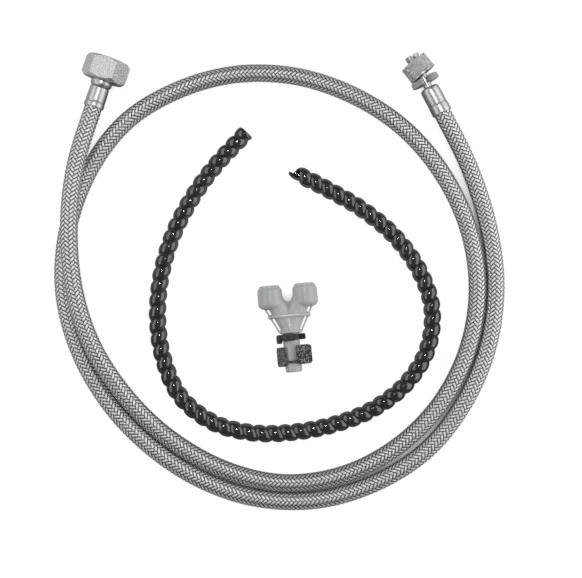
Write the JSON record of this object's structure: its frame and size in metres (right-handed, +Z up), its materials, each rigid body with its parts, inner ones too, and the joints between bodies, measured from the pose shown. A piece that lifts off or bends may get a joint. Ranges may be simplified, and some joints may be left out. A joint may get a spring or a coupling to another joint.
{
  "type": "water connection hose kit",
  "caption": "Braided flexible hose coiled flat, with a hexagon union nut and a knurled nut on its ends, a loose spiral hose guard, and a Y-piece with push-in sockets and two clips.",
  "frame": {"origin": "centre of the kit's box, on the surface that it lies on", "axes": "+Z up from the surface; +Y towards the two hose ends; +X towards the knurled nut's side"},
  "size_m": [0.3421, 0.347, 0.03],
  "materials": {
    "braid": "woven stainless wire",
    "liner": "matt",
    "fitting": "satin nickel plate",
    "nut": "satin nickel plate",
    "seal": "matt",
    "stem_clip": "ribbed",
    "guard": "glossy black",
    "y_plastic": "cloudy translucent grey",
    "clip": "fine grained dark",
    "grip": "satin"
  },
  "bodies": {
    "hose": {"hose_braid": "braid", "hose_liner": "liner", "large_ferrule": "fitting", "large_tail": "fitting", "small_ferrule": "fitting", "small_tail": "fitting", "tip_seal": "seal"},
    "large_nut": {"large_nut": "nut", "nut_washer": "seal"},
    "knurled_nut": {"knurled_nut": "nut"},
    "stem_clip": {"stem_clip_ring": "stem_clip"},
    "spiral_guard": {"spiral_guard": "guard"},
    "y_piece": {"y_body": "y_plastic", "socket_cap_left": "y_plastic", "socket_cap_right": "y_plastic", "grip_ring_left": "grip", "grip_ring_right": "grip", "o_ring_left": "seal", "o_ring_right": "seal"},
    "y_clip_ring": {"y_clip_ring": "clip"},
    "y_lock_clip": {"y_lock_clip": "clip"}
  },
  "joints": [
    {"name": "large_nut_spin", "type": "hinge", "parent": "hose", "child": "large_nut", "pos_m": [-0.13067, 0.15899, 0.015], "axis": [0.3162, 0.9487, 0], "continuous": true},
    {"name": "knurled_nut_spin", "type": "hinge", "parent": "hose", "child": "knurled_nut", "pos_m": [0.10508, 0.16092, 0.011], "axis": [-0.636, 0.7717, 0], "continuous": true},
    {"name": "stem_clip_spin", "type": "hinge", "parent": "hose", "child": "stem_clip", "pos_m": [0.11043, 0.15108, 0.011], "axis": [-0.4771, 0.8789, 0], "continuous": true},
    {"name": "guard_lift", "type": "slide", "parent": "hose", "child": "spiral_guard", "axis": [0, 0, 1], "range_m": [0, 0.08]},
    {"name": "y_lift", "type": "slide", "parent": "hose", "child": "y_piece", "axis": [0, 0, 1], "range_m": [0, 0.08]},
    {"name": "y_clip_spin", "type": "hinge", "parent": "y_piece", "child": "y_clip_ring", "pos_m": [0.00899, -0.04262, 0.01103], "axis": [-0.0871, 0.9956, -0.0349], "continuous": true},
    {"name": "y_lock_clip_pull", "type": "slide", "parent": "y_piece", "child": "y_lock_clip", "axis": [-0.3598, 0.0012, 0.933], "range_m": [0, 0.03]}
  ]
}
